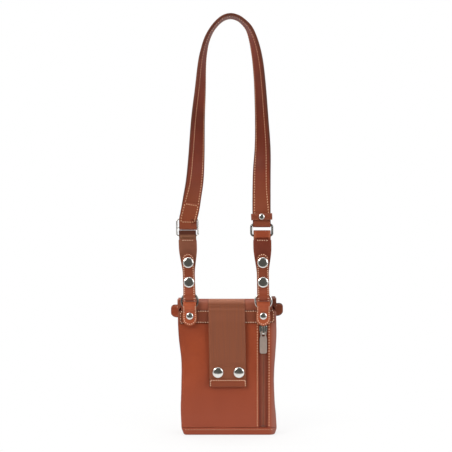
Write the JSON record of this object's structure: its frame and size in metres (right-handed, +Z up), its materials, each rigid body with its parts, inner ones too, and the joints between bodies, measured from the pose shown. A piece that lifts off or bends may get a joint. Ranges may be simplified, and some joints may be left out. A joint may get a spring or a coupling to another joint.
{
  "type": "pouch bag",
  "caption": "Slim upright leather pouch bag with a zipped mouth, a slim zipped pocket, a snap-down webbing belt loop, and a shoulder strap on snap-closed lower straps held by round rings.",
  "frame": {"origin": "middle of the flat underside of the base", "axes": "+Z up through the pouch to the top of the strap, -Y out of the worn side that carries the belt loop, +X to the right seen from that side"},
  "size_m": [0.1578, 0.0508, 0.5848],
  "materials": {
    "leather": "smooth waxed tan leather with darker raw edges and pale tan stitching",
    "leather_lined": "dark brown suede-like inner side of the strap leather",
    "webbing": "brown woven webbing with fine cross ribs",
    "zip_tape": "dark red-brown woven tape with a nylon coil",
    "lining": "plain dark cloth",
    "metal": "polished nickel",
    "dark_metal": "polished dark nickel"
  },
  "bodies": {
    "pouch": {"back_panel": "leather", "front_panel": "leather", "gusset_left": "leather", "gusset_right": "leather", "base_tray": "leather", "lining": "lining", "pocket_bag": "lining", "top_strip": "leather", "zip_end_tab_left": "leather", "zip_end_tab_right": "leather", "pocket_zip_stringer_left": "zip_tape", "pocket_zip_stringer_right": "zip_tape", "pocket_zip_stop": "metal", "top_zip_stringer_left": "zip_tape", "top_zip_stringer_right": "zip_tape", "top_zip_stop": "metal", "ring_tab_left": "leather", "ring_tab_right": "leather", "tab_rivet_left": "metal", "tab_rivet_right": "metal", "belt_loop_anchor": "webbing", "belt_snap_stud_left": "metal", "belt_snap_stud_right": "metal"},
    "pocket_slider": {"pocket_zip_slider": "metal"},
    "pocket_pull": {"pocket_zip_pull": "metal"},
    "top_slider": {"top_zip_slider": "metal"},
    "top_pull": {"top_zip_pull": "metal"},
    "belt_loop": {"belt_loop_webbing": "webbing", "belt_loop_end_tab": "leather", "belt_snap_cap_left": "metal", "belt_snap_cap_right": "metal", "belt_snap_socket_left": "metal", "belt_snap_socket_right": "metal"},
    "ring_left": {"ring_left": "metal"},
    "ring_right": {"ring_right": "metal"},
    "lower_strap_left": {"lower_strap_left": "leather_lined", "bar_loop_left": "leather", "strap_snap_stud_left_lower": "metal", "strap_snap_stud_left_upper": "metal"},
    "tail_left": {"strap_tail_left": "leather", "strap_snap_cap_left_lower": "metal", "strap_snap_cap_left_upper": "metal", "strap_snap_socket_left_lower": "metal", "strap_snap_socket_left_upper": "metal"},
    "lower_strap_right": {"lower_strap_right": "leather_lined", "bar_loop_right": "leather", "strap_snap_stud_right_lower": "metal", "strap_snap_stud_right_upper": "metal"},
    "tail_right": {"strap_tail_right": "leather", "strap_snap_cap_right_lower": "metal", "strap_snap_cap_right_upper": "metal", "strap_snap_socket_right_lower": "metal", "strap_snap_socket_right_upper": "metal"},
    "shoulder_strap": {"shoulder_strap": "leather", "strap_slide": "metal", "strap_ring": "dark_metal", "strap_keeper": "leather", "keeper_rivet": "metal"}
  },
  "joints": [
    {"name": "pocket_slider_slide", "type": "slide", "parent": "pouch", "child": "pocket_slider", "axis": [0, 0, -1], "range_m": [0, 0.125]},
    {"name": "pocket_pull_swing", "type": "hinge", "parent": "pocket_slider", "child": "pocket_pull", "pos_m": [0.0512, -0.0201, 0.1429], "axis": [-1, 0, 0], "range_deg": [0, 135]},
    {"name": "top_slider_slide", "type": "slide", "parent": "pouch", "child": "top_slider", "axis": [-1, 0, 0], "range_m": [0, 0.074]},
    {"name": "top_pull_swing", "type": "hinge", "parent": "top_slider", "child": "top_pull", "pos_m": [0.0434, 0, 0.1789], "axis": [0, 1, 0], "range_deg": [0, 135]},
    {"name": "belt_loop_open", "type": "hinge", "parent": "pouch", "child": "belt_loop", "pos_m": [0, -0.0208, 0.181], "axis": [-1, 0, 0], "range_deg": [0, 150]},
    {"name": "ring_left_tilt", "type": "hinge", "parent": "pouch", "child": "ring_left", "pos_m": [-0.051, -0.0245, 0.17602], "axis": [1, 0, 0], "range_deg": [-18, 18]},
    {"name": "ring_right_tilt", "type": "hinge", "parent": "pouch", "child": "ring_right", "pos_m": [0.051, -0.0245, 0.17602], "axis": [1, 0, 0], "range_deg": [-18, 18]},
    {"name": "strap_left_swing", "type": "hinge", "parent": "ring_left", "child": "lower_strap_left", "pos_m": [-0.051, -0.0245, 0.19636], "axis": [1, 0, 0], "range_deg": [-60, 100]},
    {"name": "strap_right_swing", "type": "hinge", "parent": "ring_right", "child": "lower_strap_right", "pos_m": [0.051, -0.0245, 0.19636], "axis": [1, 0, 0], "range_deg": [-60, 100]},
    {"name": "shoulder_swing", "type": "hinge", "parent": "lower_strap_left", "child": "shoulder_strap", "pos_m": [-0.0534, -0.01875, 0.2776], "axis": [-1, 0, 0], "range_deg": [-45, 45]},
    {"name": "tail_left_open", "type": "hinge", "parent": "lower_strap_left", "child": "tail_left", "pos_m": [-0.0512, -0.0313, 0.1942], "axis": [-1, 0, 0], "range_deg": [-120, 0]},
    {"name": "tail_right_open", "type": "hinge", "parent": "lower_strap_right", "child": "tail_right", "pos_m": [0.0509, -0.0313, 0.1942], "axis": [-1, 0, 0], "range_deg": [-120, 0]}
  ],
  "couplings": [
    {"joint": "ring_right_tilt", "follows": "ring_left_tilt", "ratio": 1},
    {"joint": "strap_right_swing", "follows": "strap_left_swing", "ratio": 1}
  ]
}
